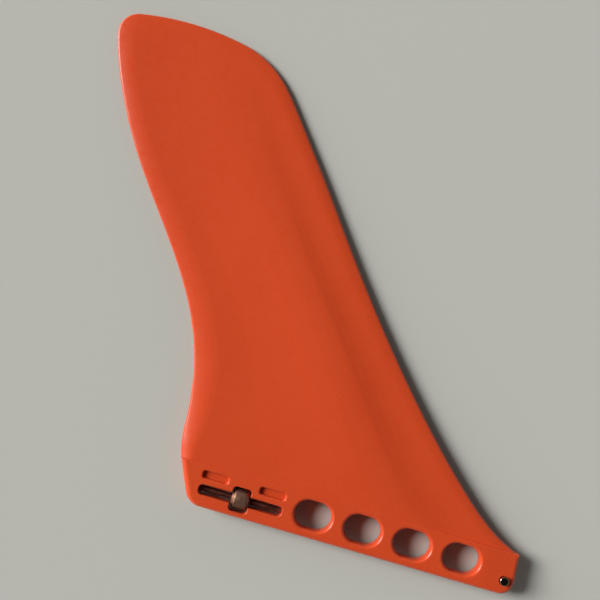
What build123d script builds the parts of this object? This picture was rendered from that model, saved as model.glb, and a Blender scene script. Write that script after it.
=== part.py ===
from build123d import *
from math import cos, radians, sin, sqrt, tan
import os

# Centre fin of a paddleboard, lying on its side. X runs along the tab to the front,
# Y runs up the span to the tip, and Z is the thickness, with the mid-plane at Z = 0.
# The origin is the middle of the flat foot of the tab. All sizes are in millimetres.

# Tab, the foot that slides into the fin box of the board
tab_depth = 23.2
tab_thickness = 9.3
foot_length = 168.2
rear_lean = 23.7
rear_corner_radius = 10.0
front_corner_radius = 7.4
front_lean = 4.0
tab_edge_round = 2.0
lead_in_length = 18.0
lead_in_depth = 0.9

# Blade, swept back from the tab
blade_depth = 228.6
blade_overlap = 1.2
foot_angle = 12.0
tip_set_back = 161.8
top_radius = 155.0
shoulder_turn = 12.2
top_turn = 10.6
tip_corner_radius = 11.4
tip_corner_turn = 92.5

# Leading edge, from the tab to the shoulder, and trailing edge, from the tip's corner to the tab:
# share of the way back from its front end to its rear end, and share of the blade's depth
leading_edge = [(0.0598, 0.024), (0.165, 0.102), (0.3532, 0.285), (0.581, 0.549), (0.7428, 0.755),
                (0.8266, 0.858), (0.895, 0.9322), (0.9442, 0.9646)]
trailing_edge = [(0.9501, 0.862), (0.6983, 0.658), (0.3805, 0.473), (0.1166, 0.274), (0.0323, 0.092)]

# Foil: how far the root stands back from the tab's face, and the half thicknesses at the tip
crest_step = 0.15
crest_tip = 1.45
rear_land_step = 0.35
rear_land_tip = 1.35
front_land_step = 0.55
front_land_tip = 1.35
land_taper = 2.2
crest_taper = 1.5

# Foil: where the crest and the slopes lie, as shares of the chord, and how far the land's ends have risen
crest_place = 0.31
front_slope_place = 0.155
front_land_place = 0.08
front_land_rise = 0.06
rear_land_place = 0.30
rear_land_rise = 0.12

# The blade's rim: widths of its slope at the root and the tip, and half thicknesses at the outline
rear_rim_root = 4.0
rear_rim_tip = 5.0
rear_rim_bulge = 2.3
bulge_place = 0.25
front_rim = 4.0
tip_rim = 4.5
bevel_run_out = 12.0
bevel_lift = 0.1
rim_root = 2.6
rim_tip = 0.85
rim_floor = 0.6
rim_knee = 0.35

# Sections of the loft: how far they reach past the outline, how far above the tab and below the tip's
# corner they stop following it, and where they stand, as rises above the tab and shares of the depth
section_margin = 3.0
foot_straight = 2.5
run_on_margin = 10.0
foot_stations = (-7.0, -2.0, 1.5, 5.0, 10.0, 16.0, 24.0)
span_stations = (0.17, 0.28, 0.42, 0.57, 0.72, 0.84, 0.913, 0.961, 0.987, 1.017)
pace_share = 0.42

# Holes through the tab: the walls left round them, and the bevel of their mouths
hole_count = 4
hole_web = 6.3
hole_rear_web = 6.15
hole_front_web = 2.45
hole_foot_wall = 4.35
hole_top_wall = 2.65
hole_mouth = 1.0

# Slot with the spring rod and the roller, and the pocket round the roller
rod_set_ahead = 20.7
slot_length = 46.8
slot_height = 6.2
slot_mouth = 0.4
slot_corner = 2.4
rod_diameter = 3.2
rod_seat_depth = 3.5
rod_clearance = 0.03
roller_diameter = 11.0
roller_length = 9.8
roller_chamfer = 1.5
roller_bore_clearance = 0.05
pocket_side_gap = 0.95
pocket_end_gap = 0.5
pocket_corner = 2.0
pocket_foot_wall = 3.15

# Two blind recesses above the slot, on each face
recess_length = 14.4
recess_height = 4.1
recess_depth = 2.2
recess_spacing = 32.1
recess_rise = 8.25
recess_corner = 1.5

# Cross pin near the front end
pin_diameter = 5.0
pin_length = 14.0
pin_set_back = 6.2
pin_height_above_foot = 7.7
pin_end_round = 0.8

# How far a cutting body reaches past what it cuts, and how close two levels count as one
cut_clear = 1.0
same = 0.01

half_tab = tab_thickness / 2
tip_y = tab_depth + blade_depth
rear_x = -foot_length / 2
front_x = foot_length / 2
nose_x = front_x + front_corner_radius
fold_x = nose_x - lead_in_length
pin_x = nose_x - pin_set_back
pin_y = pin_height_above_foot

crest_root = half_tab - crest_step
rear_land_root = half_tab - rear_land_step
front_land_root = half_tab - front_land_step

rod_x = rear_x + rod_set_ahead
pocket_length = roller_length + 2 * pocket_end_gap
pocket_height = roller_diameter + 2 * pocket_side_gap
rod_y = pocket_foot_wall + pocket_height / 2

holes_rear = rod_x + slot_length / 2 + hole_rear_web
holes_front = fold_x - hole_front_web
hole_pitch = (holes_front - holes_rear + hole_web) / hole_count
hole_length = hole_pitch - hole_web
hole_height = tab_depth - hole_foot_wall - hole_top_wall
hole_y = hole_foot_wall + hole_height / 2


def tab_corners():
    """The points where the tab's rear end and front end leave their corner arcs and meet the blade."""
    lean = radians(rear_lean)
    rear_low = (rear_x - rear_corner_radius * cos(lean), rear_corner_radius * (1 - sin(lean)))
    rear_high = (rear_low[0] - (tab_depth - rear_low[1]) * tan(lean), tab_depth)
    lean = radians(front_lean)
    front_low = (front_x + front_corner_radius * cos(lean), front_corner_radius * (1 + sin(lean)))
    front_high = (front_low[0] - (tab_depth - front_low[1]) * tan(lean), tab_depth)
    return rear_low, rear_high, front_low, front_high


rear_low, rear_high, front_low, front_high = tab_corners()


def edge_points(shares, front, rear):
    """Points of the blade's outline from shares of the way back and up."""
    return [(front + back * (rear - front), tab_depth + up * blade_depth) for back, up in shares]


def blade_edges():
    """The leading edge, the top, the tip's rear corner and the trailing edge, in that order."""
    rise = radians(shoulder_turn)
    shoulder = (top_radius * sin(rise) - tip_set_back, tip_y - top_radius * (1 - cos(rise)))
    foot = radians(foot_angle)
    ahead = Spline(
        [front_high] + edge_points(leading_edge, front_high[0], shoulder[0]) + [shoulder],
        tangents=[(-cos(foot), sin(foot)), (-cos(rise), sin(rise))],
    )
    top = JernArc(shoulder, (-cos(rise), sin(rise)), top_radius, shoulder_turn + top_turn)
    corner = JernArc(top @ 1, top % 1, tip_corner_radius, tip_corner_turn)
    lean = radians(rear_lean)
    behind = Spline(
        [corner @ 1] + edge_points(trailing_edge, rear_high[0], (corner @ 1).X) + [rear_high],
        tangents=[corner % 1, (sin(lean), -cos(lean))],
    )
    return ahead, top, corner, behind


ahead, top, corner, behind = blade_edges()
run_on_y = (corner @ 1).Y - run_on_margin


def place_on(edge, y, low, high):
    """Where an edge crosses a level, and how it leans there; past its limits it runs on straight."""
    level = min(max(y, low), high)
    start_side = (edge @ 0).Y < (edge @ 1).Y
    near, far = 0.0, 1.0
    for _ in range(30):
        middle = (near + far) / 2
        below = (edge @ middle).Y < level
        if below == start_side:
            near = middle
        else:
            far = middle
    point = edge @ near
    along = edge % near
    slope = along.X / along.Y
    return point.X + (y - level) * slope, 1 / sqrt(1 + slope * slope)


def rim_height(inside, width, edge, land):
    """Half thickness at a distance inside the outline; outside it the slope eases off and stays above zero."""
    slope = 3 * (land - edge) / width
    if inside < 0:
        return edge + slope * inside / (1 - slope * inside / (rim_floor * edge))
    return edge + (land - edge) * (1 - (1 - min(inside / width, 1.0)) ** 3)


def bulge(share):
    """A hump up the span: nothing at the root and the tip, and 1 at its place in between."""
    power = 1 / bulge_place - 1
    return share / bulge_place * ((1 - share) / (1 - bulge_place)) ** power


def foil_points(y):
    """The upper side of one chordwise section of the blade, a little wider than the outline."""
    share = min(max((y - tab_depth) / blade_depth, 0.0), 1.0)
    rear, rear_square = place_on(behind, y, tab_depth, run_on_y)
    front, front_square = place_on(ahead, y, tab_depth + foot_straight, run_on_y)
    chord = front - rear

    fade = (1 - share) ** land_taper
    rear_land = rear_land_tip + (rear_land_root - rear_land_tip) * fade
    front_land = front_land_tip + (front_land_root - front_land_tip) * fade
    crest = crest_tip + (crest_root - crest_tip) * (1 - share ** crest_taper)
    rim = rim_tip + (rim_root - rim_tip) * fade

    rear_rim = rear_rim_root + (rear_rim_tip - rear_rim_root) * share + rear_rim_bulge * bulge(share)
    rear_steps = [-section_margin, 0.0, rim_knee * rear_rim, rear_rim]
    front_steps = [-section_margin, 0.0, rim_knee * front_rim, front_rim]
    upper = [(rear + step / rear_square, rim_height(step, rear_rim, rim, rear_land)) for step in rear_steps]
    upper += [
        (rear + rear_land_place * chord, rear_land + rear_land_rise * (crest - rear_land)),
        (front - crest_place * chord, crest),
        (front - front_slope_place * chord, (crest + front_land) / 2),
        (front - front_land_place * chord, front_land + front_land_rise * (crest - front_land)),
    ]
    upper += [(front - step / front_square, rim_height(step, front_rim, rim, front_land))
              for step in reversed(front_steps)]
    return upper


def pace(points):
    """Running share of the way along a row of points, with long steps counted by their square root."""
    steps = [0.0]
    for (x_from, z_from), (x_to, z_to) in zip(points, points[1:]):
        steps.append(steps[-1] + ((x_to - x_from) ** 2 + (z_to - z_from) ** 2) ** 0.25)
    return [step / steps[-1] for step in steps]


def foil_section(y, shares):
    """One closed section of the blade; all sections share one pace, so that the loft's ribs line up."""
    upper = [Vector(x, y, z) for x, z in foil_points(y)]
    lower = [Vector(point.X, y, -point.Z) for point in reversed(upper)]
    above = Edge.make_spline(upper, parameters=shares)
    before = Edge.make_line(upper[-1], lower[0])
    below = Edge.make_spline(lower, parameters=[1 - share for share in reversed(shares)])
    after = Edge.make_line(lower[-1], upper[0])
    return make_face([above, before, below, after])


def blade():
    """The foiled blade: a loft of sections up the span, trimmed to the outline."""
    stations = [tab_depth + rise for rise in foot_stations]
    stations += [tab_depth + share * blade_depth for share in span_stations]
    shares = pace(foil_points(tab_depth + pace_share * blade_depth))
    body = loft([foil_section(y, shares) for y in stations])

    low_rear = (rear_high[0] + blade_overlap, tab_depth - blade_overlap)
    low_front = (front_high[0] - blade_overlap, tab_depth - blade_overlap)
    base = Polyline(behind @ 1, low_rear, low_front, ahead @ 0)
    outline = make_face([ahead, top, corner, behind] + list(base.edges()))
    body &= Pos(0, 0, -tab_thickness) * extrude(outline, 2 * tab_thickness)
    bevel = top_bevel()
    body -= bevel
    body -= mirror(bevel, Plane.XY)
    return body


def top_bevel():
    """The part ring cut off one face to thin the top of the tip: a cone about the top arc's centre."""
    land = rear_land_tip + bevel_lift
    slope = (land - rim_tip) / tip_rim
    ring = make_face(Plane.XZ * Polyline(
        (top_radius - tip_rim, land),
        (top_radius + cut_clear, rim_tip - slope * cut_clear),
        (top_radius + cut_clear, land + cut_clear),
        (top_radius - tip_rim, land + cut_clear),
        close=True,
    ))
    turn = shoulder_turn + top_turn + 2 * bevel_run_out
    part_ring = Rot(0, 0, 90 - shoulder_turn - bevel_run_out) * revolve(ring, Axis.Z, turn)
    return Pos(-tip_set_back, tip_y - top_radius, 0) * part_ring


def tab_outline():
    """The outline of the tab: a flat foot, two corner arcs and two leaning ends."""
    rear_side = Polyline(rear_low, rear_high, front_high, front_low)
    front_turn = TangentArc(front_low, (front_x, 0), tangent=(sin(radians(front_lean)), -cos(radians(front_lean))))
    foot = Line((front_x, 0), (rear_x, 0))
    rear_turn = TangentArc((rear_x, 0), rear_low, tangent=(-1, 0))
    return make_face(list(rear_side.edges()) + [front_turn, foot, rear_turn])


def lead_in():
    """The wedge that is taken off one face at the front end of the tab."""
    slope = lead_in_depth / lead_in_length
    wedge = make_face(Plane.XZ * Polyline(
        (fold_x, half_tab),
        (nose_x + cut_clear, half_tab - lead_in_depth - slope * cut_clear),
        (nose_x + cut_clear, half_tab + cut_clear),
        (fold_x, half_tab + cut_clear),
        close=True,
    ))
    return extrude(wedge, tab_depth + cut_clear, both=True)


def tab_block():
    """The solid tab with its rounded edges, before anything is cut out of it."""
    block = Pos(0, 0, -half_tab) * extrude(tab_outline(), tab_thickness)
    wedge = lead_in()
    block -= wedge
    block -= mirror(wedge, Plane.XY)
    rounded = [edge for edge in block.edges()
               if abs((edge @ 0.5).Z) > half_tab - lead_in_depth - same
               and not on_seam(edge) and not across(edge)]
    return fillet(rounded, tab_edge_round)


def on_seam(edge):
    """True for an edge that lies along the seam between tab and blade."""
    return (edge @ 0).Y > tab_depth - same and (edge @ 1).Y > tab_depth - same


def across(edge):
    """True for the fold where the lead-in starts."""
    return abs((edge @ 0).X - fold_x) < same and abs((edge @ 1).X - fold_x) < same


def cut_through(body, sketch, mouth_size):
    """Cut a shape right through the tab and ease its mouth on both faces."""
    body -= Pos(0, 0, -tab_thickness) * extrude(sketch, 2 * tab_thickness)
    box = sketch.bounding_box()
    mouth = [edge for edge in body.edges()
             if abs(abs((edge @ 0.5).Z) - half_tab) < same
             and box.min.X - same < (edge @ 0.5).X < box.max.X + same
             and box.min.Y - same < (edge @ 0.5).Y < box.max.Y + same]
    return chamfer(mouth, mouth_size)


def fin_body():
    """The one-piece moulding: blade and tab, with all openings of the tab."""
    body = tab_block()
    for index in range(hole_count):
        hole_x = holes_rear + hole_length / 2 + index * hole_pitch
        hole = Pos(hole_x, hole_y) * SlotOverall(hole_length, hole_height)
        body = cut_through(body, hole, hole_mouth)

    slot = Pos(rod_x, rod_y) * RectangleRounded(slot_length, slot_height, slot_corner)
    pocket = Pos(rod_x, rod_y) * RectangleRounded(pocket_length, pocket_height, pocket_corner)
    body = cut_through(body, slot + pocket, slot_mouth)

    for side in (-1, 1):
        recess = Pos(rod_x + side * recess_spacing / 2, rod_y + recess_rise, half_tab - recess_depth) * extrude(
            RectangleRounded(recess_length, recess_height, recess_corner), recess_depth + cut_clear)
        body -= recess
        body -= mirror(recess, Plane.XY)

    socket_length = slot_length + 2 * rod_seat_depth
    body -= Pos(rod_x, rod_y, 0) * Rot(0, 90, 0) * Cylinder(rod_diameter / 2 + rod_clearance, socket_length)
    body -= Pos(pin_x, pin_y, 0) * Cylinder(pin_diameter / 2, pin_length)
    return body + blade()


def spring_rod():
    """The round spring steel rod across the slot, seated in the tab at both ends."""
    return Pos(rod_x, rod_y, 0) * Rot(0, 90, 0) * Cylinder(rod_diameter / 2, slot_length + 2 * rod_seat_depth)


def roller():
    """The roller that turns on the rod: a barrel with bevelled ends and a bore."""
    barrel = Rot(0, 90, 0) * Cylinder(roller_diameter / 2, roller_length)
    ends = [edge for edge in barrel.edges() if edge.geom_type == GeomType.CIRCLE]
    barrel = chamfer(ends, roller_chamfer)
    barrel -= Rot(0, 90, 0) * Cylinder(rod_diameter / 2 + roller_bore_clearance, roller_length + cut_clear)
    return Pos(rod_x, rod_y, 0) * barrel


def front_pin():
    """The steel cross pin pressed through the front of the tab."""
    pin = Cylinder(pin_diameter / 2, pin_length)
    ends = [edge for edge in pin.edges() if edge.geom_type == GeomType.CIRCLE]
    return Pos(pin_x, pin_y, 0) * fillet(ends, pin_end_round)


os.makedirs("parts", exist_ok=True)
for name, piece in (("fin_body", fin_body()), ("spring_rod", spring_rod()),
                    ("roller", roller()), ("front_pin", front_pin())):
    solid = piece.solid()
    print(name, round(solid.volume), solid.is_valid, len(piece.solids()))
    export_step(solid, f"parts/{name}.step")
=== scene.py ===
# %% [markdown]
# # A paddleboard's centre fin, seen from above on a pale table
# The fin is one orange moulding: a thin swept blade on a thick straight tab. Three metal pieces sit
# in the tab: a cross pin at the front, and a roller on a springy rod at the rear. The imported model
# gives the frame that everything here is built around, so it is loaded first.

# %% Load the frame
import math

import bmesh
import bpy
import numpy as np
from mathutils import Matrix, Vector


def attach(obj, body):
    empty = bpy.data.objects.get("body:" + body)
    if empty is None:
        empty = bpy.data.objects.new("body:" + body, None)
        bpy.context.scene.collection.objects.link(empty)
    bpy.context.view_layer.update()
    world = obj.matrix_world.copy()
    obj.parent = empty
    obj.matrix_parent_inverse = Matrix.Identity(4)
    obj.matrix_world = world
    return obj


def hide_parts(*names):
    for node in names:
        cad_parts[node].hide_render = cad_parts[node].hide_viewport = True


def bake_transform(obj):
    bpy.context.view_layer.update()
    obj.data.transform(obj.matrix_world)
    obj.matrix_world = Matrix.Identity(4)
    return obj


MM = 0.001
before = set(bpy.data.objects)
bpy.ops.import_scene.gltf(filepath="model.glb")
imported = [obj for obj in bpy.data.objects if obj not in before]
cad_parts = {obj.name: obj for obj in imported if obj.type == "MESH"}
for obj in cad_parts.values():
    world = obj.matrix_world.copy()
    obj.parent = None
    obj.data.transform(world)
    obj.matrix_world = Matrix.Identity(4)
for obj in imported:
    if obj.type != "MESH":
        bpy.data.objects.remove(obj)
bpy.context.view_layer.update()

# %% [markdown]
# ## Camera
# The photograph was taken from straight above the table, about half a metre up, a little turned.
# The fin rests on its pin and roller, so the table isn't quite parallel to the fin's mid-plane.
# A camera is easiest to place by its own axes: what is right in the picture, what is up, and what
# points back at the lens. Three such vectors make the columns of its rotation.

# %% Table plane and camera
TABLE_DROP_AT_TAB = 7.0 * MM
TABLE_DROP_AT_TIP = 2.2 * MM
TAB_LEVEL = 8 * MM
TIP_LEVEL = 250 * MM
TURN = math.radians(16.22)
VIEW_HEIGHT = 520 * MM
VIEW_SPOT = (-62.5 * MM, 122.7 * MM)
LENS_MM = 56.55
NEAREST_SEEN = 10 * MM

rise = (TABLE_DROP_AT_TAB - TABLE_DROP_AT_TIP) / (TIP_LEVEL - TAB_LEVEL)
table_normal = Vector((0, -rise, 1)).normalized()


def table_height(y):
    """The table's level under a place up the fin."""
    return -TABLE_DROP_AT_TAB + (y - TAB_LEVEL) * rise


def aim(obj, place, right, back):
    """Put an object at a place, with its own X to the right and its own Z pointing back."""
    back = back.normalized()
    up = back.cross(right).normalized()
    right = up.cross(back)
    turn = Matrix((right, up, back)).transposed().to_4x4()
    obj.matrix_world = Matrix.Translation(place) @ turn


camera = bpy.data.objects.new("camera", bpy.data.cameras.new("camera"))
bpy.context.scene.collection.objects.link(camera)
bpy.context.scene.camera = camera
camera.data.lens = LENS_MM
camera.data.clip_start = NEAREST_SEEN
foot_point = Vector((VIEW_SPOT[0], VIEW_SPOT[1], table_height(VIEW_SPOT[1])))
aim(camera, foot_point + table_normal * VIEW_HEIGHT, Vector((math.cos(TURN), math.sin(TURN), 0)),
    table_normal)
print("camera at", [round(v, 4) for v in camera.location], "lens", camera.data.lens)

# %% [markdown]
# ## Materials
# Every finish is built from nodes. The helpers below keep that short: one adds a node and fills its
# sockets, one makes a noise pattern that is fixed to the piece by Object coordinates, one moves a
# value from one range to another, and one mixes two colours. The light is plain, so a colour
# renders about as it is written. Colours are noted as they look on a screen and turned into the
# linear values that a shader needs.

# %% Node helpers


def linear(red, green, blue):
    """A screen colour, 0 to 255, as the linear colour a shader takes."""
    def one(value):
        share = value / 255
        return share / 12.92 if share <= 0.04045 else ((share + 0.055) / 1.055) ** 2.4
    return (one(red), one(green), one(blue), 1)


def add(tree, kind, settings=None, **sockets):
    """A node with its settings, and its input sockets set to values or linked to other nodes' outputs.

    A socket is given by its name, or by i and its number where several sockets share a name."""
    node = tree.nodes.new(kind)
    for name, value in (settings or {}).items():
        setattr(node, name, value)
    for name, value in sockets.items():
        key = int(name[1:]) if name[0] == "i" and name[1:].isdigit() else name.replace("_", " ")
        socket = node.inputs[key]
        if isinstance(value, bpy.types.NodeSocket):
            tree.links.new(value, socket)
        else:
            socket.default_value = value
    return node


def noise(tree, scale, detail=3, stretch=(1, 1, 1)):
    """Noise in object space, 0 to 1, with its scale in lumps per metre, squeezed or stretched per axis."""
    place = add(tree, "ShaderNodeTexCoord").outputs["Object"]
    spread = add(tree, "ShaderNodeMapping", Vector=place, Scale=stretch).outputs["Vector"]
    return add(tree, "ShaderNodeTexNoise", Vector=spread, Scale=scale, Detail=detail).outputs["Fac"]


def span(tree, value, low, high, to_low, to_high):
    """A value moved from one range to another, and held at its ends."""
    moved = add(tree, "ShaderNodeMapRange", i0=value, i1=low, i2=high, i3=to_low, i4=to_high)
    return moved.outputs["Result"]


def mix(tree, share, first, second):
    """A colour between two colours."""
    node = add(tree, "ShaderNodeMix", {"data_type": "RGBA"}, i0=share, i6=first, i7=second)
    return node.outputs[2]


def new_material(name):
    """An empty material with its shader, ready to be filled."""
    material = bpy.data.materials.new(name)
    material.use_nodes = True
    return material, material.node_tree, material.node_tree.nodes["Principled BSDF"]


# %% [markdown]
# ## Orange moulding
# The real fin is moulded plastic: an even strong orange with a satin skin. Close up, its colour
# drifts a little along the flow of the melt, its gloss is patchy from handling, and it carries a
# fine orange-peel texture and a few hairline scuffs. A wide noise stretched along the span gives
# the drift, a finer noise gives the gloss, and two bumps, one on the other, give the skin. All of it
# is weak, because a strong pattern on so plain a thing looks like dirt.

# %% Moulding material
ORANGE = linear(203, 72, 35)
ORANGE_DEEP = linear(199, 69, 33)
ORANGE_LIGHT = linear(207, 76, 38)
DRIFT, CLOUDS, HANDLING, SCUFFS, PEEL = 14, 60, 220, 900, 1100  # lumps per metre
MELT_FLOW = (1.0, 0.35, 1.0)
HAIRLINE = (1.0, 0.04, 1.0)
DRIFT_EDGES = (0.35, 0.65)
CLOUD_EDGES = (0.45, 0.8)
CLOUD_SHARE = 0.35
SCUFF_EDGES = (0.62, 0.75)
GLOSS_RANGE = (0.25, 0.33)
PEEL_STRENGTH, PEEL_DEPTH = 0.06, 0.0002
SCUFF_STRENGTH, SCUFF_DEPTH = 0.05, 0.0001
PLASTIC_IOR = 1.47
PLASTIC_SHINE = 0.4


def make_moulding():
    """Satin plastic with drifting colour, patchy gloss, orange peel and hairline scuffs."""
    material, tree, skin = new_material("orange_moulding")
    drift = noise(tree, DRIFT, 4, MELT_FLOW)
    clouds = noise(tree, CLOUDS, 5)
    even = mix(tree, span(tree, drift, *DRIFT_EDGES, 0, 1), ORANGE_DEEP, ORANGE)
    colour = mix(tree, span(tree, clouds, *CLOUD_EDGES, 0, CLOUD_SHARE), even, ORANGE_LIGHT)
    gloss = span(tree, noise(tree, HANDLING, 6), 0.3, 0.7, *GLOSS_RANGE)
    peel = add(tree, "ShaderNodeBump", Height=noise(tree, PEEL, 3), Strength=PEEL_STRENGTH,
               Distance=PEEL_DEPTH)
    scuffs = span(tree, noise(tree, SCUFFS, 2, HAIRLINE), *SCUFF_EDGES, 0, 1)
    scratched = add(tree, "ShaderNodeBump", Height=scuffs, Strength=SCUFF_STRENGTH,
                    Distance=SCUFF_DEPTH, Normal=peel.outputs["Normal"])
    tree.links.new(colour, skin.inputs["Base Color"])
    tree.links.new(gloss, skin.inputs["Roughness"])
    tree.links.new(scratched.outputs["Normal"], skin.inputs["Normal"])
    skin.inputs["IOR"].default_value = PLASTIC_IOR
    skin.inputs["Specular IOR Level"].default_value = PLASTIC_SHINE
    return material


moulding = make_moulding()
print("moulding nodes", len(moulding.node_tree.nodes))

# %% [markdown]
# ## Metals
# The rod is dull drawn steel and the roller is turned steel with fine rings round it, and the pin is
# polished. The rod and the roller are coloured reddish brown, which is a painted reflection of the
# orange walls of the slot and pocket round them. All three are the same recipe with other numbers:
# a metal colour that drifts at random between two tones, and roughness and bump from stretched
# noise, so one function makes them. A stretch close to zero along an axis draws the noise out into
# lines that run along it.

# %% Metal materials
BLOTCHES = 500
GRAIN_STRENGTH = 0.25
GRAIN_DEPTH = 0.00005


def make_metal(name, tone, blotch_tone, rough, stretch, grain):
    """A metal with two tones, a roughness range, and a fine grain that is stretched per axis."""
    material, tree, skin = new_material(name)
    blotches = noise(tree, BLOTCHES, 5)
    colour = mix(tree, span(tree, blotches, 0.4, 0.7, 0, 1), tone, blotch_tone)
    lines = noise(tree, grain, 2, stretch)
    bump = add(tree, "ShaderNodeBump", Height=lines, Strength=GRAIN_STRENGTH, Distance=GRAIN_DEPTH)
    tree.links.new(colour, skin.inputs["Base Color"])
    tree.links.new(span(tree, lines, 0.3, 0.7, *rough), skin.inputs["Roughness"])
    tree.links.new(bump.outputs["Normal"], skin.inputs["Normal"])
    skin.inputs["Metallic"].default_value = 1.0
    return material


# The reddish brown of the rod's and the roller's tones is a painted reflection of the orange moulding round
# them
rod_steel = make_metal("rod_steel", linear(142, 98, 84), linear(105, 64, 52),
                       rough=(0.32, 0.5), stretch=(0.05, 1, 1), grain=4000)
roller_steel = make_metal("roller_steel", linear(138, 106, 88), linear(112, 72, 56),
                          rough=(0.5, 0.66), stretch=(1, 0.02, 0.02), grain=6000)
pin_steel = make_metal("pin_steel", linear(140, 124, 112), linear(122, 104, 92),
                       rough=(0.08, 0.14), stretch=(1, 1, 1), grain=3000)
print("metals", rod_steel.name, roller_steel.name, pin_steel.name)

# %% [markdown]
# ## The fin's outline
# The blade's shape is drawn by two edges. The leading edge leaves the front of the tab, sweeps
# back almost straight, and turns over a shallow arc at the top. The trailing edge hollows in above
# the tab and swings back to a small round corner. Both are smooth curves through a few measured
# points, each given as a place along the tab in mm and a share of the blade's depth. A cubic spline
# with its bends in balance at every point, a natural choice for such edges, comes from solving one
# small set of linear equations. From here on, plain sizes are in mm, and they become metres where
# a mesh is made.

# %% Sizes of the outline
TAB_DEPTH = 23.2
BLADE_DEPTH = 228.6
TIP_TOP = TAB_DEPTH + BLADE_DEPTH
FOOT_LENGTH = 168.2
REAR_LEAN = math.radians(23.7)
REAR_CORNER = 10.0
FRONT_LEAN = math.radians(4.0)
FRONT_CORNER = 7.4
FOOT_ANGLE = math.radians(12.0)
TOP_RADIUS = 155.0
SHOULDER_TURN = math.radians(12.2)
TOP_TURN = math.radians(10.6)
TIP_CORNER = 11.4
TIP_CORNER_TURN = math.radians(92.5)
TIP_X = -161.8
LEADING = [(77.3, 0.024), (54.2, 0.102), (12.9, 0.285), (-37.1, 0.549), (-72.6, 0.755), (-91.0, 0.858),
           (-106.0, 0.9322), (-116.8, 0.9646)]
TRAILING = [(-194.4, 0.862), (-169.6, 0.658), (-138.3, 0.473), (-112.3, 0.274), (-104.0, 0.092)]

rear_x = -FOOT_LENGTH / 2
front_x = FOOT_LENGTH / 2
rear_top = rear_x - REAR_CORNER * math.cos(REAR_LEAN) - math.tan(REAR_LEAN) * (
    TAB_DEPTH - REAR_CORNER * (1 - math.sin(REAR_LEAN)))
front_top = front_x + FRONT_CORNER * math.cos(FRONT_LEAN) - math.tan(FRONT_LEAN) * (
    TAB_DEPTH - FRONT_CORNER * (1 + math.sin(FRONT_LEAN)))
print("tab in mm from", round(rear_top, 1), "to", round(front_top, 1), "at the seam")

# %% Curve helpers


def smooth_curve(points, start, end, count=400):
    """A cubic spline through points, with its direction given at both ends, as many close points."""
    p = np.array(points, float)
    step = np.linalg.norm(np.diff(p, axis=0), axis=1)
    n = len(p)
    system = np.zeros((n, n))
    target = np.zeros((n, 2))
    system[0, 0] = system[-1, -1] = 1
    target[0] = np.array(start) / np.linalg.norm(start)
    target[-1] = np.array(end) / np.linalg.norm(end)
    for k in range(1, n - 1):
        before, after = step[k - 1], step[k]
        system[k, k - 1:k + 2] = 1 / before, 2 / before + 2 / after, 1 / after
        target[k] = 3 * (p[k] - p[k - 1]) / before ** 2 + 3 * (p[k + 1] - p[k]) / after ** 2
    slope = np.linalg.solve(system, target)
    along = np.concatenate([[0], np.cumsum(step)])
    at = np.linspace(0, along[-1], count)
    k = np.clip(np.searchsorted(along, at, side="right") - 1, 0, n - 2)
    h = step[k][:, None]
    t = (at - along[k])[:, None] / h
    return ((2 * t ** 3 - 3 * t ** 2 + 1) * p[k] + (t ** 3 - 2 * t ** 2 + t) * h * slope[k]
            + (3 * t ** 2 - 2 * t ** 3) * p[k + 1] + (t ** 3 - t ** 2) * h * slope[k + 1])


def arc(centre, radius, start, end, count=60):
    """Close points on an arc, from one angle to another."""
    angle = np.linspace(start, end, count)
    return np.array(centre) + radius * np.column_stack([np.cos(angle), np.sin(angle)])


def on_blade(pairs):
    """Points from places along the tab and shares of the blade's depth."""
    return [(x, TAB_DEPTH + share * BLADE_DEPTH) for x, share in pairs]


# %% Outline of the blade
top_centre = (TIP_X, TIP_TOP - TOP_RADIUS)
up = math.pi / 2
shoulder_arc = arc(top_centre, TOP_RADIUS, up - SHOULDER_TURN, up)
rear_arc = arc(top_centre, TOP_RADIUS, up, up + TOP_TURN)
turn_in = np.array([math.cos(up + TOP_TURN), math.sin(up + TOP_TURN)])
corner_arc = arc(rear_arc[-1] - TIP_CORNER * turn_in, TIP_CORNER, up + TOP_TURN,
                 up + TOP_TURN + TIP_CORNER_TURN)
heading = up + TOP_TURN + TIP_CORNER_TURN + math.pi / 2
leading = smooth_curve([(front_top, TAB_DEPTH)] + on_blade(LEADING) + [tuple(shoulder_arc[0])],
                       (-math.cos(FOOT_ANGLE), math.sin(FOOT_ANGLE)),
                       (-math.cos(SHOULDER_TURN), math.sin(SHOULDER_TURN)))
trailing = smooth_curve([tuple(corner_arc[-1])] + on_blade(TRAILING) + [(rear_top, TAB_DEPTH)],
                        (math.cos(heading), math.sin(heading)), (math.sin(REAR_LEAN), -math.cos(REAR_LEAN)))
front_line = np.vstack([leading, shoulder_arc[1:]])
rear_line = np.vstack([rear_arc, corner_arc[1:], trailing[1:]])[::-1]
print("leading edge", len(front_line), "points, trailing edge", len(rear_line), "points")

# %% [markdown]
# ## Rows up the span
# The blade is a sheet of rows, each level across the fin from the trailing edge to the leading
# edge. The rows crowd together towards the top, where the outline runs nearly along them. The two
# ends of every row are found on the outline and kept as two thin wire objects, which the node tree
# below picks its points from.

# %% Row ends as two wires
ROWS = 190
FOOT_OVERLAP = 1.1
ROW_CROWDING = 1.8


def wire(name, points):
    """A mesh of points joined by edges only, in metres."""
    mesh = bpy.data.meshes.new(name)
    mesh.from_pydata([(x * MM, y * MM, 0) for x, y in points],
                     [(k, k + 1) for k in range(len(points) - 1)], [])
    return bpy.data.objects.new(name, mesh)


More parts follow.
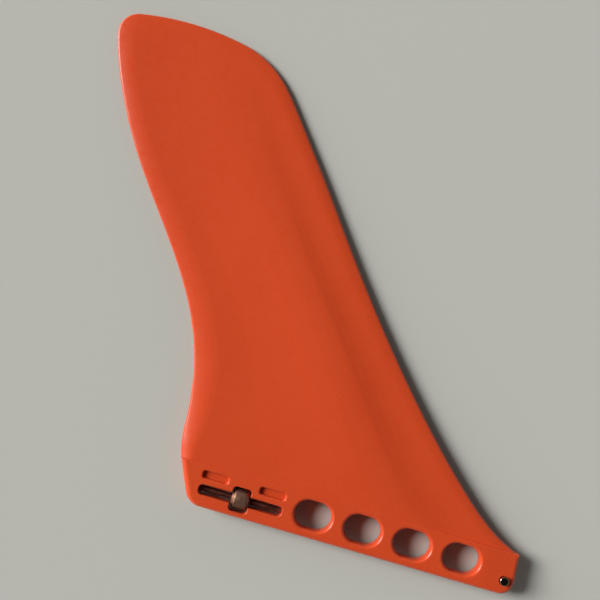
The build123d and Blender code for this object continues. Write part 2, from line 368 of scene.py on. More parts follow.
row_share = 1 - np.linspace(0, 1, ROWS - 1)
levels = TIP_TOP - (BLADE_DEPTH + FOOT_OVERLAP / 2) * row_share ** ROW_CROWDING
levels = np.concatenate([[TAB_DEPTH - FOOT_OVERLAP], levels])
front_ends = np.column_stack([np.interp(levels, front_line[:, 1], front_line[:, 0]), levels])
rear_ends = np.column_stack([np.interp(levels, rear_line[:, 1], rear_line[:, 0]), levels])
front_wire = wire("front_ends", front_ends)
rear_wire = wire("rear_ends", rear_ends)
print("rows", ROWS, "top rows in mm", [round(v, 3) for v in levels[-4:]])

# %% [markdown]
# ## The foiled blade
# A fin is thinnest at its tip and rounded all round, and from the leading edge it swells to a crest
# a third of the way back. That is a rule, so a Geometry Nodes tree makes the blade from it. A grid
# is stretched between the two wires, row by row. Its columns crowd towards the edges. Each point
# then rises to half the blade's thickness there. The rise has three parts: a land, lower in front
# than at the rear, which falls away up the span, a crest that stands on it, and a rim, where the
# height eases down by the distance to the wires. The lower side is the same surface mirrored. The
# sizes are inputs of the tree, so that any of them can be tried out.

# %% Small helpers for the tree


def calc(tree, kind, first, second=0.0, third=0.0):
    """One step of arithmetic in a geometry tree."""
    return add(tree, "ShaderNodeMath", {"operation": kind}, i0=first, i1=second, i2=third).outputs[0]


def between(tree, share, low, high):
    """A number part of the way from low to high."""
    return calc(tree, "MULTIPLY_ADD", share, calc(tree, "SUBTRACT", high, low), low)


def shaped(tree, value, points):
    """A number read off a smooth curve through given points."""
    node = add(tree, "ShaderNodeFloatCurve", i1=value)
    curve = node.mapping.curves[0]
    while len(curve.points) > 2:
        curve.points.remove(curve.points[1])
    curve.points[0].location = points[0]
    curve.points[1].location = points[-1]
    for x, y in points[1:-1]:
        curve.points.new(x, y)
    node.mapping.update()
    return node.outputs[0]


def rest(tree, share):
    """What is left of one."""
    return calc(tree, "SUBTRACT", 1.0, share)


def position(tree):
    """Where each point is."""
    return add(tree, "GeometryNodeInputPosition").outputs[0]


def join(tree, *parts):
    """Several geometries as one."""
    node = add(tree, "GeometryNodeJoinGeometry")
    for part in parts:
        tree.links.new(part, node.inputs[0])
    return node.outputs[0]


# %% From a tree to a mesh


def named_inputs(tree, inputs):
    """Give the tree its named inputs with their values, and a geometry output."""
    for name, kind, value in inputs:
        socket = tree.interface.new_socket(name, in_out="INPUT", socket_type=kind)
        if value is not None:
            socket.default_value = value
    tree.interface.new_socket("Geometry", in_out="OUTPUT", socket_type="NodeSocketGeometry")
    return add(tree, "NodeGroupInput").outputs


def from_nodes(name, tree, values):
    """Run a tree on an empty mesh, with objects and materials for its inputs, and keep the plain mesh."""
    maker = bpy.data.objects.new(name + "_maker", bpy.data.meshes.new(name + "_maker"))
    bpy.context.scene.collection.objects.link(maker)
    modifier = maker.modifiers.new("rule", "NODES")
    modifier.node_group = tree
    for item in tree.interface.items_tree:
        if item.in_out == "INPUT" and item.name in values:
            modifier[item.identifier] = values[item.name]
    made = maker.evaluated_get(bpy.context.evaluated_depsgraph_get())
    mesh = bpy.data.meshes.new_from_object(made)
    maker.modifiers.remove(modifier)
    bpy.data.objects.remove(maker)
    mesh.name = name
    return mesh


# %% [markdown]
# Light on the real blade falls in bands: a flat front land, a dark slope up to the crest, a hollow
# behind it and a slope down to the trailing rim. Formulas for such a section grow long, and a curve
# drawn through a dozen points is easier to match to what is seen. These are the curves.

# %% Curves of the blade
COLUMNS = 130
RIM_FADE = 3.0
CREST_FADE = 1.5
REAR_EASE = 2.0
FRONT_EASE = 2.3
# Up the span, from 0 at the tab to 1 at the tip: the lands as shares of LAND_SCALE
LAND_SCALE = 4 * MM
FRONT_LAND = [(0, 0.7), (0.1, 0.57), (0.2, 0.49), (0.34, 0.43), (0.47, 0.415), (0.6, 0.42),
              (0.73, 0.45), (0.84, 0.435), (0.93, 0.4), (1, 0.34)]
REAR_LAND = [(0, 1), (0.1, 0.93), (0.2, 0.79), (0.34, 0.64), (0.47, 0.53), (0.6, 0.475),
             (0.73, 0.46), (0.84, 0.44), (0.93, 0.405), (1, 0.34)]
# Across the blade, from 0 at the trailing edge to 1 at the leading edge: from land to crest
FOIL = [(0, 0.2), (0.1, 0.12), (0.2, 0.09), (0.3, 0.22), (0.45, 0.58), (0.57, 0.92), (0.635, 1),
        (0.695, 0.92), (0.77, 0.48), (0.83, 0.13), (0.88, 0.02), (0.94, 0), (1, 0)]
# Up the span: the width of the trailing rim's slope as a share of REAR_RIM_SCALE
REAR_RIM_SCALE = 16 * MM
REAR_RIM = [(0, 0.42), (0.03, 0.56), (0.1, 0.8), (0.2, 0.92), (0.34, 0.88), (0.47, 0.78),
            (0.6, 0.7), (0.75, 0.64), (0.88, 0.64), (1, 0.7)]
print("lands at the tab in mm", FRONT_LAND[0][1] * LAND_SCALE / MM, REAR_LAND[0][1] * LAND_SCALE / MM)

# %% [markdown]
# The sheet comes first, and it is flat. Its columns are remembered in a named attribute before it
# is stretched between the wires. A field is worked out on the geometry that it is wired to, so
# after the stretch a point's own position would no longer say in which column it stands.

# %% The flat sheet


def flat_sheet():
    """A new tree with its inputs, and a grid stretched between the two wires."""
    tree = bpy.data.node_groups.new("foiled_blade", "GeometryNodeTree")
    size = "NodeSocketFloat"
    put = named_inputs(tree, [
        ("Rear ends", "NodeSocketObject", None), ("Front ends", "NodeSocketObject", None),
        ("Rows", "NodeSocketInt", ROWS), ("Columns", "NodeSocketInt", COLUMNS),
        ("Foot level", size, TAB_DEPTH * MM), ("Span", size, BLADE_DEPTH * MM),
        ("Crest root", size, 4.5 * MM), ("Crest tip", size, 1.45 * MM),
        ("Land scale", size, LAND_SCALE), ("Rear rim scale", size, REAR_RIM_SCALE),
        ("Rim root", size, 1.85 * MM), ("Rim tip", size, 0.75 * MM),
        ("Front rim root", size, 7.0 * MM), ("Front rim tip", size, 8.5 * MM),
        ("Edge round", size, 1.0 * MM), ("Material", "NodeSocketMaterial", None),
    ])
    rear = add(tree, "GeometryNodeObjectInfo", Object=put["Rear ends"]).outputs["Geometry"]
    front = add(tree, "GeometryNodeObjectInfo", Object=put["Front ends"]).outputs["Geometry"]
    grid = add(tree, "GeometryNodeMeshGrid", Size_X=1.0, Size_Y=1.0, Vertices_X=put["Columns"],
               Vertices_Y=put["Rows"]).outputs["Mesh"]
    place = add(tree, "ShaderNodeSeparateXYZ", Vector=position(tree)).outputs
    across = calc(tree, "ADD", place["X"], 0.5)
    upwards = calc(tree, "ADD", place["Y"], 0.5)
    last_row = calc(tree, "SUBTRACT", put["Rows"], 1.0)
    row = calc(tree, "ROUND", calc(tree, "MULTIPLY", upwards, last_row))
    smooth = {"interpolation_type": "SMOOTHSTEP"}
    chord = add(tree, "ShaderNodeMapRange", smooth, i0=across).outputs["Result"]
    ends = []
    for wire_geometry in (rear, front):
        pick = add(tree, "GeometryNodeSampleIndex", {"data_type": "FLOAT_VECTOR", "domain": "POINT"})
        tree.links.new(wire_geometry, pick.inputs["Geometry"])
        tree.links.new(position(tree), pick.inputs["Value"])
        tree.links.new(row, pick.inputs["Index"])
        ends.append(pick.outputs["Value"])
    spot = add(tree, "ShaderNodeMix", {"data_type": "VECTOR"}, i0=chord, i4=ends[0], i5=ends[1])
    kept = add(tree, "GeometryNodeStoreNamedAttribute", {"data_type": "FLOAT", "domain": "POINT"},
               Geometry=grid, Name="across", Value=chord).outputs[0]
    sheet = add(tree, "GeometryNodeSetPosition", Geometry=kept, Position=spot.outputs[1]).outputs[0]
    return tree, put, rear, front, sheet


# %% [markdown]
# The height of a point is a field, a sum that Blender works out for every point at once. It needs
# three things of the point: its share of the span, its share of the chord, and its gap to the
# outline, which a proximity node measures. The last mm before the outline follows a quarter circle,
# so the edge is round. The lowest row, inside the tab, is left flat, which closes the foot.

# %% The rule for the thickness
SIDE_CHANGE = (0.3, 0.7)
FLAT_FOOT = 0.9


def foil_height(tree, put, share, chord):
    """Half the thickness away from the rim: the land, and the crest that stands on it."""
    rear_land, front_land = shaped(tree, share, REAR_LAND), shaped(tree, share, FRONT_LAND)
    land = calc(tree, "MULTIPLY", between(tree, chord, rear_land, front_land), put["Land scale"])
    crest_fade = rest(tree, calc(tree, "POWER", share, CREST_FADE))
    crest = between(tree, crest_fade, put["Crest tip"], put["Crest root"])
    return between(tree, shaped(tree, chord, FOIL), land, crest)


def rim_height(tree, put, share, chord, gap, foil):
    """The foil eased down to the rim, by the distance to the outline."""
    rim_fade = calc(tree, "POWER", rest(tree, share), RIM_FADE)
    rim = between(tree, rim_fade, put["Rim tip"], put["Rim root"])
    side = add(tree, "ShaderNodeMapRange", {"interpolation_type": "SMOOTHSTEP"}, i0=chord,
               i1=SIDE_CHANGE[0], i2=SIDE_CHANGE[1]).outputs[0]
    rear_width = calc(tree, "MULTIPLY", shaped(tree, share, REAR_RIM), put["Rear rim scale"])
    front_width = between(tree, share, put["Front rim root"], put["Front rim tip"])
    width = between(tree, side, rear_width, front_width)
    inside = calc(tree, "MINIMUM", calc(tree, "DIVIDE", gap, width), 1.0)
    power = between(tree, side, REAR_EASE, FRONT_EASE)
    ease = rest(tree, calc(tree, "POWER", rest(tree, inside), power))
    return between(tree, ease, rim, foil)


def lift(tree, put, rear, front, sheet):
    """Raise the flat sheet to half the blade's thickness, with a round edge."""
    flat = add(tree, "ShaderNodeSeparateXYZ", Vector=position(tree)).outputs
    chord = add(tree, "GeometryNodeInputNamedAttribute", {"data_type": "FLOAT"}, Name="across")
    chord = chord.outputs["Attribute"]
    share = calc(tree, "DIVIDE", calc(tree, "SUBTRACT", flat["Y"], put["Foot level"]), put["Span"])
    share = add(tree, "ShaderNodeClamp", Value=share).outputs[0]
    gap = add(tree, "GeometryNodeProximity", {"target_element": "EDGES"}, i0=join(tree, rear, front))
    gap = gap.outputs["Distance"]
    height = rim_height(tree, put, share, chord, gap, foil_height(tree, put, share, chord))
    near = rest(tree, calc(tree, "MINIMUM", calc(tree, "DIVIDE", gap, put["Edge round"]), 1.0))
    edge = calc(tree, "SQRT", rest(tree, calc(tree, "MULTIPLY", near, near)))
    above_foot = calc(tree, "GREATER_THAN", flat["Y"], (TAB_DEPTH - FOOT_OVERLAP * FLAT_FOOT) * MM)
    height = calc(tree, "MULTIPLY", calc(tree, "MULTIPLY", height, edge), above_foot)
    offset = add(tree, "ShaderNodeCombineXYZ", Z=height).outputs[0]
    return add(tree, "GeometryNodeSetPosition", Geometry=sheet, Offset=offset).outputs[0]


# %% Close the blade
JOIN_WITHIN = 2e-6


def close_blade(tree, put, upper):
    """Mirror the upper side to the lower, join the two along the outline and set the material."""
    turned = add(tree, "GeometryNodeTransform", Geometry=upper, Scale=(1, 1, -1)).outputs[0]
    lower = add(tree, "GeometryNodeFlipFaces", Mesh=turned).outputs[0]
    merged = add(tree, "GeometryNodeMergeByDistance", Geometry=join(tree, upper, lower),
                 Distance=JOIN_WITHIN).outputs[0]
    smooth = add(tree, "GeometryNodeSetShadeSmooth", Geometry=merged).outputs[0]
    real = add(tree, "GeometryNodeRealizeInstances", Geometry=smooth).outputs[0]
    dressed = add(tree, "GeometryNodeSetMaterial", Geometry=real, Material=put["Material"])
    add(tree, "NodeGroupOutput", Geometry=dressed.outputs[0])


tree, put, rear, front, sheet = flat_sheet()
close_blade(tree, put, lift(tree, put, rear, front, sheet))
print("blade tree", len(tree.nodes), "nodes")

# %% Make the blade
wires = {"Rear ends": rear_wire, "Front ends": front_wire}
for wire_object in wires.values():
    bpy.context.scene.collection.objects.link(wire_object)
blade_mesh = from_nodes("blade", tree, {**wires, "Material": moulding})
for wire_object in wires.values():
    bpy.data.objects.remove(wire_object)
print("blade", len(blade_mesh.vertices), "vertices", len(blade_mesh.polygons), "faces")

# %% [markdown]
# ## The tab
# The tab is a flat plate with a rounded rim, four long holes with soft lips, a slot that widens
# into a pocket for the roller, and two shallow recesses on each face. A plate like this is made
# loop by loop: every loop of the outline gets a few rings that climb from the mid-plane over the
# rounding to the flat face, and the flat face is then filled between the last rings. The same
# rings, mirrored, make the other face. A recess has rings that go down to its floor instead.

# %% Sizes of the openings
HOLES = 4
HOLE_LENGTH = 20.7
HOLE_HEIGHT = 15.7
HOLE_PITCH = 27.8
HOLE_LEVEL = 12.45
FIRST_HOLE = -23.1
ROD_X = -63.4
ROD_Y = 9.6
SLOT_LENGTH = 46.8
SLOT_HEIGHT = 5.8
POCKET_LENGTH = 10.3
POCKET_HEIGHT = 13.6
RECESS_SPACING = 32.1
RECESS_RISE = 8.25
RECESS_LENGTH = 14.4
RECESS_HEIGHT = 4.1
SLOT_CORNER = 2.4
POCKET_CORNER = 2.0
POCKET_NECK = 0.5
RECESS_CORNER = 1.5
CORNER_STEPS = 14

# %% Loops with round corners


def rounded_loop(corners):
    """A closed loop of points with its material on the left, from corners (x, y, corner radius)."""
    points = []
    for k, (x, y, radius) in enumerate(corners):
        here = np.array([x, y], float)
        before = np.array(corners[k - 1][:2]) - here
        after = np.array(corners[(k + 1) % len(corners)][:2]) - here
        before /= np.linalg.norm(before)
        after /= np.linalg.norm(after)
        if radius == 0:
            points.append(here)
            continue
        half_angle = math.acos(np.clip(before @ after, -1, 1)) / 2
        reach = radius / math.tan(half_angle)
        middle = before + after
        centre = here + middle / np.linalg.norm(middle) * radius / math.sin(half_angle)
        first, last = here + before * reach - centre, here + after * reach - centre
        sweep = math.pi - 2 * half_angle
        for t in np.linspace(0, 1, CORNER_STEPS):
            turned_to = math.sin((1 - t) * sweep) * first + math.sin(t * sweep) * last
            points.append(centre + turned_to / math.sin(sweep))
    return np.array(points)


def box_corners(x, y, length, height, radius):
    """The corners of a rounded rectangle, clockwise, for a hole."""
    a, b = length / 2, height / 2
    return [(x + dx, y + dy, radius) for dx, dy in ((-a, -b), (-a, b), (a, b), (a, -b))]


# %% Loops of the tab
NEAR_SEAM = 2.2
SEAM_CORNER = 0.6
SEAM_FROM_FRONT, SEAM_FROM_REAR = 4, 6
SEAM_POINTS = 30
STRAIGHT_LEFT = 0.01

tan_rear = math.tan(REAR_LEAN)
tan_front = math.tan(FRONT_LEAN)
foot_rear = rear_top + TAB_DEPTH * tan_rear
foot_front = front_top + TAB_DEPTH * tan_front
seam = [(x, TAB_DEPTH, 0)
        for x in np.linspace(front_top - SEAM_FROM_FRONT, rear_top + SEAM_FROM_REAR, SEAM_POINTS)]
tab_loop = rounded_loop([
    (foot_rear, 0, REAR_CORNER), (foot_front, 0, FRONT_CORNER),
    (front_top + NEAR_SEAM * tan_front, TAB_DEPTH - NEAR_SEAM, 0),
    (front_top, TAB_DEPTH, SEAM_CORNER), *seam, (rear_top, TAB_DEPTH, 0),
    (rear_top + NEAR_SEAM * tan_rear, TAB_DEPTH - NEAR_SEAM, 0)])
hole_loops = [rounded_loop(box_corners(FIRST_HOLE + k * HOLE_PITCH, HOLE_LEVEL, HOLE_LENGTH,
                                       HOLE_HEIGHT, HOLE_HEIGHT / 2 - STRAIGHT_LEFT))
              for k in range(HOLES)]
sl, sh, pl, ph = SLOT_LENGTH / 2, SLOT_HEIGHT / 2, POCKET_LENGTH / 2, POCKET_HEIGHT / 2
half_slot = [(-sl, -sh, SLOT_CORNER), (-sl, sh, SLOT_CORNER), (-pl, sh, POCKET_NECK),
             (-pl, ph, POCKET_CORNER), (pl, ph, POCKET_CORNER), (pl, sh, POCKET_NECK)]
slot_shape = half_slot + [(-x, -y, radius) for x, y, radius in half_slot]  # turned half round
slot_loop = rounded_loop([(ROD_X + x, ROD_Y + y, radius) for x, y, radius in slot_shape])
recess_loops = [rounded_loop(box_corners(ROD_X + side * RECESS_SPACING / 2, ROD_Y + RECESS_RISE,
                                         RECESS_LENGTH, RECESS_HEIGHT, RECESS_CORNER))
                for side in (-1, 1)]
print("tab loop", len(tab_loop), "points, slot", len(slot_loop), "foot from", round(foot_rear, 1), "to",
      round(foot_front, 1))

# %% [markdown]
# Moulded openings aren't cut straight: their walls lean a little, so that the part leaves its
# mould. This lean is the draft. The mouths of the holes are rounded far more than the slot's. The
# rim of the tab is rounded widest at the rear, and hardly at all along the seam, where the blade
# takes over. The pin needs its bore as one more loop.

# %% Rings round a loop
HALF_TAB = 4.65
EDGE_ROUND = 2.0
REAR_ROUND = 3.4
SEAM_ROUND = 0.5
RING_STEPS = 7
FACE_MARGIN = 0.25
ON_SEAM = 0.01
AT_REAR = 1


def inward(loop):
    """The direction into the material at every point of a loop, stretched at corners."""
    ahead = np.roll(loop, -1, axis=0) - loop
    ahead /= np.linalg.norm(ahead, axis=1)[:, None]
    left = np.column_stack([-ahead[:, 1], ahead[:, 0]])
    middle = left + np.roll(left, 1, axis=0)
    return middle / (middle * left).sum(axis=1)[:, None]


def tab_rounding():
    """The radius and the inward direction at every point of the tab's outline."""
    normal = inward(tab_loop)
    at_end = np.clip((rear_x - tab_loop[:, 0]) / REAR_CORNER, 0, 1)
    radius = EDGE_ROUND + (REAR_ROUND - EDGE_ROUND) * at_end
    on_seam = tab_loop[:, 1] > TAB_DEPTH - ON_SEAM
    at_rear = on_seam & (tab_loop[:, 0] < rear_top + AT_REAR)
    radius[on_seam & ~at_rear] = SEAM_ROUND
    # The seam's last point moves in by the rear's radius and down by the seam's
    normal[at_rear] = 1, -SEAM_ROUND / REAR_ROUND
    return radius, normal


def rings(bm, loop, radius, wall_foot=0, draft=0, normal=None):
    """Rings of vertices that climb a wall from wall_foot and round over onto the face.

    The radius is one number or one for each point. Draft moves the foot of the wall outwards."""
    normal = inward(loop) if normal is None else normal
    radius = np.broadcast_to(radius, len(loop))
    made = [[bm.verts.new((x * MM, y * MM, wall_foot * MM)) for x, y in loop - normal * draft]]
    for angle in np.linspace(0, math.pi / 2, RING_STEPS):
        spot = loop + normal * (radius * (1 - math.cos(angle)))[:, None]
        level = HALF_TAB - radius * (1 - math.sin(angle))
        made.append([bm.verts.new((x * MM, y * MM, z * MM)) for (x, y), z in zip(spot, level)])
    spot = loop + normal * (radius + FACE_MARGIN)[:, None]
    made.append([bm.verts.new((x * MM, y * MM, HALF_TAB * MM)) for x, y in spot])
    for lower, upper in zip(made, made[1:]):
        for k in range(len(loop)):
            bm.faces.new((lower[k - 1], lower[k], upper[k], upper[k - 1]))
    return made


def close_ring(bm, ring):
    """The edges of a ring, found or made."""
    pairs = [(ring[k - 1], ring[k]) for k in range(len(ring))]
    return [bm.edges.get(pair) or bm.edges.new(pair) for pair in pairs]


print("widest rounding in mm", round(float(tab_rounding()[0].max()), 2))

# %% Half of the plate
HOLE_LIP, HOLE_DRAFT = 1.6, 0.4
SLOT_LIP, SLOT_DRAFT = 0.4, 0.1
BORE_LIP = 0.25
RECESS_LIP, RECESS_DRAFT = 0.8, 0.3
RECESS_DEPTH = 2.2
PIN_RADIUS = 2.5
PIN_INSET = 6.2
PIN_X = front_x + FRONT_CORNER - PIN_INSET
PIN_Y = 7.7
BORE_POINTS = 48


def plate():
    """Half of the tab, from the mid-plane up, with all its openings."""
    bm = bmesh.new()
    rim_radius, rim_normal = tab_rounding()
    face_edges = close_ring(bm, rings(bm, tab_loop, rim_radius, normal=rim_normal)[-1])
    bore = arc((PIN_X, PIN_Y), PIN_RADIUS, 2 * math.pi, 0, BORE_POINTS + 1)[:-1]
    openings = [(loop, HOLE_LIP, HOLE_DRAFT) for loop in hole_loops]
    openings += [(slot_loop, SLOT_LIP, SLOT_DRAFT), (bore, BORE_LIP, 0)]
    for loop, lip, draft in openings:
        face_edges += close_ring(bm, rings(bm, loop, lip, draft=draft)[-1])
    for loop in recess_loops:
        made = rings(bm, loop, RECESS_LIP, HALF_TAB - RECESS_DEPTH, RECESS_DRAFT)
        face_edges += close_ring(bm, made[-1])
        bm.faces.new(made[0])
    bmesh.ops.triangle_fill(bm, use_beauty=True, edges=face_edges, normal=(0, 0, 1))
    return bm


# %% [markdown]
# The front end of the real tab thins a little, so that it finds its way into the box. The flat
# faces are cut across there into narrow strips, and then every point ahead of the fold is squeezed
# towards the mid-plane. The half plate is then doubled, mirrored and merged along the mid-plane.

# %% The whole plate
LEAD_IN = 18.0
LEAD_IN_DEPTH = 0.9
LEAD_IN_STRIPS = 7
LEAD_IN_CUT = 0.8
MIRROR_WELD = 1e-6


def squeeze_front(bm):
    """Thin the front end: cut the plate across in strips, then draw the points ahead inwards."""
    fold = front_x + FRONT_CORNER - LEAD_IN
    for x in np.linspace(fold, fold + LEAD_IN * LEAD_IN_CUT, LEAD_IN_STRIPS):
        bmesh.ops.bisect_plane(bm, geom=bm.verts[:] + bm.edges[:] + bm.faces[:],
                               plane_co=(x * MM, 0, 0), plane_no=(1, 0, 0))
    for vertex in bm.verts:
        ahead = (vertex.co.x / MM - fold) / LEAD_IN
        if ahead > 0:
            vertex.co.z *= 1 - LEAD_IN_DEPTH / HALF_TAB * ahead


def plate_mesh(name):
    """The whole tab as a closed mesh."""
    bm = plate()
    squeeze_front(bm)
    upper = bm.verts[:] + bm.edges[:] + bm.faces[:]
    copy = bmesh.ops.duplicate(bm, geom=upper)["geom"]
    lower = [item for item in copy if isinstance(item, bmesh.types.BMVert)]
    for vertex in lower:
        vertex.co.z *= -1
    bmesh.ops.remove_doubles(bm, verts=bm.verts[:], dist=MIRROR_WELD)
    bmesh.ops.recalc_face_normals(bm, faces=bm.faces[:])
    mesh = bpy.data.meshes.new(name)
    bm.to_mesh(mesh)
    open_edges = sum(not edge.is_manifold for edge in bm.edges)
    bm.free()
    mesh.shade_smooth()
    print(name, len(mesh.vertices), "vertices, open edges", open_edges)
    return mesh


tab_mesh = plate_mesh("tab")
tab_mesh.materials.append(moulding)

# %% [markdown]
# The blade's foot sits just inside the tab, as the two are one moulding. The two shells are joined
# into one object, which stands for the CAD body of the fin.

# %% One moulding


def piece(name, mesh):
    """A mesh as an object in the scene, at the origin."""
    made = bpy.data.objects.new(name, mesh)
    bpy.context.scene.collection.objects.link(made)
    return made


def joined(name, meshes):
    """Several meshes as one object, each keeping its own shells."""
    bm = bmesh.new()
    for mesh in meshes:
        bm.from_mesh(mesh)
    result = bpy.data.meshes.new(name)
    bm.to_mesh(result)
    bm.free()
    result.materials.append(moulding)
    return piece(name, result)


fin = joined("orange_fin", [blade_mesh, tab_mesh])
fin.data.shade_smooth()
print("moulding", len(fin.data.polygons), "faces")

# %% [markdown]
# ## Rod, roller and pin
# All three are turned parts, so each is a profile swept once round an axis. The helper takes the
# profile as (distance along the axis, radius) pairs and the direction of the axis. The rod bends
# when the roller is pressed: its ends stay in the tab while its middle moves. It is made as two
# halves that meet inside the roller.

# %% A turned part
PROFILE_WELD = 1e-7


def turned(name, profile, centre, axis, material, around=64):
    """Sweep a profile round an axis. The profile starts and ends on the axis, or closes on itself."""
    axis = Vector(axis)
    side = axis.orthogonal().normalized()
    other = axis.cross(side)
    bm = bmesh.new()
    rows = []
    for along, radius in profile:
        middle = Vector(centre) + axis * along
        if radius == 0:
            rows.append([bm.verts.new(middle * MM)])
            continue
        rows.append([bm.verts.new((middle + (side * math.cos(a) + other * math.sin(a)) * radius) * MM)
                     for a in np.linspace(0, 2 * math.pi, around, endpoint=False)])
    for low, high in zip(rows, rows[1:]):
        for k in range(around):
            if len(low) == 1:
                corners = [low[0], high[k], high[k - 1]]
            elif len(high) == 1:
                corners = [low[k - 1], low[k], high[0]]
            else:
                corners = [low[k - 1], low[k], high[k], high[k - 1]]
            bm.faces.new(corners)
    bmesh.ops.remove_doubles(bm, verts=bm.verts[:], dist=PROFILE_WELD)
    bmesh.ops.recalc_face_normals(bm, faces=bm.faces[:])
    mesh = bpy.data.meshes.new(name)
    bm.to_mesh(mesh)
    bm.free()
    mesh.materials.append(material)
    mesh.shade_smooth()
    return piece(name, mesh)


def eased(corners, rounding, steps=4):
    """A profile with its inner corners rounded off."""
    points = [corners[0]]
    for before, here, after in zip(corners, corners[1:], corners[2:]):
        a, p, b = (np.array(v, float) for v in (before, here, after))
        ahead, back = (b - p) / np.linalg.norm(b - p), (a - p) / np.linalg.norm(a - p)
        for t in np.linspace(0, 1, steps):
            points.append(tuple(p + back * rounding * (1 - t) ** 2 + ahead * rounding * t ** 2))
    return points + [corners[-1]]


# %% Roller and pin
ROLLER_RADIUS = 5.85
ROLLER_HALF = 4.9
ROLLER_BEVEL = 1.9
ROLLER_ROUND = 0.3
BORE_RADIUS = 1.65
PIN_HALF = 7.0
PIN_ROUND = 0.8
PIN_FIT = 0.02
PIN_CENTRE = 0.3

bevel_start, bevel_end = ROLLER_HALF - ROLLER_BEVEL, ROLLER_RADIUS - ROLLER_BEVEL
roller_profile = eased([
    (-ROLLER_HALF, BORE_RADIUS), (-ROLLER_HALF, bevel_end), (-bevel_start, ROLLER_RADIUS),
    (bevel_start, ROLLER_RADIUS), (ROLLER_HALF, bevel_end), (ROLLER_HALF, BORE_RADIUS)], ROLLER_ROUND)
roller_profile.append(roller_profile[0])
roller = turned("roller_barrel", roller_profile, (ROD_X, ROD_Y, 0), (1, 0, 0), roller_steel)

pin_side = PIN_RADIUS - PIN_FIT
pin_profile = [(-PIN_HALF, 0)] + eased([
    (-PIN_HALF, PIN_CENTRE), (-PIN_HALF, pin_side), (PIN_HALF, pin_side), (PIN_HALF, PIN_CENTRE)],
    PIN_ROUND, 9) + [(PIN_HALF, 0)]
pin = turned("cross_pin", pin_profile, (PIN_X, PIN_Y, 0), (0, 0, 1), pin_steel)
print("roller and pin", len(roller.data.polygons), len(pin.data.polygons))

# %% Rod in two halves
ROD_RADIUS = 1.6
ROD_SEAT = 3.5
ROD_STEPS = 24
ROD_SIDES = 32

rod_end = SLOT_LENGTH / 2 + ROD_SEAT
halves = []
for name, side in (("rod_rear", -1), ("rod_front", 1)):
    along = np.linspace(0, side * rod_end, ROD_STEPS)
    profile = [(0, 0)] + [(x, ROD_RADIUS) for x in along] + [(side * rod_end, 0)]
    halves.append(turned(name, profile, (ROD_X, ROD_Y, 0), (1, 0, 0), rod_steel, ROD_SIDES))
print("rod halves", [half.name for half in halves])

# %% [markdown]
# ## Sharp creases
# Turned parts have flat ends that meet round walls. Smooth shading would smear light over such
# corners, so edges sharper than a set angle are marked, and shading breaks there.

# %% Mark creases
CREASE = math.radians(35)


def crease(obj, angle=CREASE):
    """Mark an object's sharp edges, and count them."""
    bm = bmesh.new()
    bm.from_mesh(obj.data)
    sharp = 0
    for edge in bm.edges:
        if len(edge.link_faces) == 2 and edge.calc_face_angle() > angle:
            edge.smooth = False
            sharp += 1
    bm.to_mesh(obj.data)
    bm.free()
    return sharp


for obj in [fin, roller, pin] + halves:
    sharp = crease(obj)
    print(obj.name, sharp, "sharp edges")

# %% [markdown]
# ## What moves with what
# The fin's body carries the moulding and the pin. The roller rides on the roller body. The two
# halves of the rod only have their places baked into their meshes; they are not given to a body.

# %% Ride and replace
ROLLER_PLAY = 0.3


def on_rod(along):
    """A point on the rod's axis, so many mm ahead of its middle."""
    return ((ROD_X + along) * MM, ROD_Y * MM, 0)


rod_seats = [on_rod(side * SLOT_LENGTH / 2) for side in (-1, 1)]
roller_ends = [on_rod(side * (ROLLER_HALF + ROLLER_PLAY)) for side in (-1, 1)]
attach(fin, "fin")
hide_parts("fin_body")
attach(pin, "fin")
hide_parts("front_pin")
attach(roller, "roller")
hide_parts("roller")
for half, seat, roller_end in zip(halves, rod_seats, roller_ends):
    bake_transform(half)
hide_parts("spring_rod")
print("pieces", [obj.name for obj in [fin, pin, roller] + halves])

# %% [markdown]
# ## Table
# The table is a plain pale sheet, a little tilted against the fin as the fin lies on its pin and
# roller. It is attached to no body, so it belongs to the picture and not to the fin.

# %% Table
TABLE_SIZE = 3.0
TABLE = linear(180, 180, 172)
TABLE_ROUGH = 0.9


def make_table():
    """One big square in the table's plane."""
    material, tree, skin = new_material("pale_table")
    skin.inputs["Base Color"].default_value = TABLE
    skin.inputs["Roughness"].default_value = TABLE_ROUGH
    half = TABLE_SIZE / 2
    spots = ((-half, -half), (half, -half), (half, half), (-half, half))
    mesh = bpy.data.meshes.new("table")
    mesh.from_pydata([(x, y, table_height(y)) for x, y in spots], [], [(0, 1, 2, 3)])
    mesh.materials.append(material)
    return piece("table", mesh)


table = make_table()
print("table", TABLE_SIZE, "m wide")

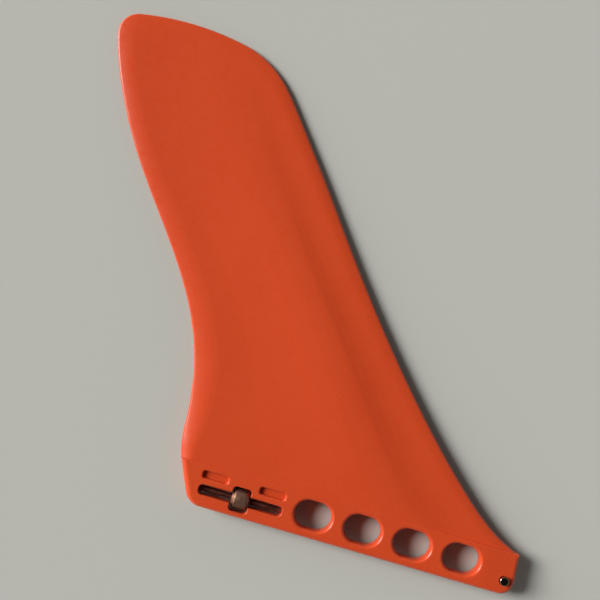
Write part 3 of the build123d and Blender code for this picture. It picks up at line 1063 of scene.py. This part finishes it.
# %% [markdown]
# ## Light
# The light in the photograph comes from large windows on the left, low enough to give a soft shadow
# along the right of the blade and a bright line on edges that face left. A sun lamp with a wide
# angle acts like a large window. Two of them are used: a strong one, and a weak and lower one that
# softens the far end of the shadow. The room does the rest. It is brighter near the horizon, where
# its walls are, and nearly dark overhead, and that is what keeps the metal dark, since the metal
# mirrors what is above it. Each lamp's strength is set by its share of the light on the table, so
# that the table renders at the colour it is written in.

# %% Lamps
# Each has a name, its heading, elevation and width in degrees, and its share of the table's light
LAMPS = [("window_light", -6, 34, 26, 0.68), ("side_light", -10, 15, 40, 0.15)]
LAMP_PLACE = Vector((-0.5, 0, 0.5))


def make_lamp(name, heading, elevation, width, share):
    """A wide sun lamp that gives its share of the table's light and travels in its heading."""
    turn, climb = math.radians(heading), math.radians(elevation)
    level = math.cos(climb)
    travel = Vector((math.cos(turn) * level, math.sin(turn) * level, -math.sin(climb)))
    lamp = bpy.data.objects.new(name, bpy.data.lights.new(name, "SUN"))
    bpy.context.scene.collection.objects.link(lamp)
    lamp.data.angle = math.radians(width)
    lamp.data.energy = share * math.pi / math.sin(climb)
    aim(lamp, LAMP_PLACE, Vector((0, 1, 0)), -travel)


for lamp in LAMPS:
    make_lamp(*lamp)
print("lamps", [lamp[0] for lamp in LAMPS], "shares", [lamp[-1] for lamp in LAMPS])

# %% Room
HORIZON = 0.9
ZENITH = 0.02
SKY_TOP = 0.7


def make_world():
    """A dim room: brighter towards the horizon, nearly dark overhead."""
    world = bpy.data.worlds.new("room")
    world.use_nodes = True
    tree = world.node_tree
    air = tree.nodes["Background"]
    direction = add(tree, "ShaderNodeTexCoord").outputs["Generated"]
    height = add(tree, "ShaderNodeSeparateXYZ", Vector=direction).outputs["Z"]
    tree.links.new(span(tree, height, 0, SKY_TOP, HORIZON, ZENITH), air.inputs["Strength"])
    air.inputs["Color"].default_value = (1, 1, 1, 1)
    return world


bpy.context.scene.world = make_world()
bpy.context.scene.view_settings.view_transform = "Standard"
print("room from", HORIZON, "at the horizon to", ZENITH, "overhead")
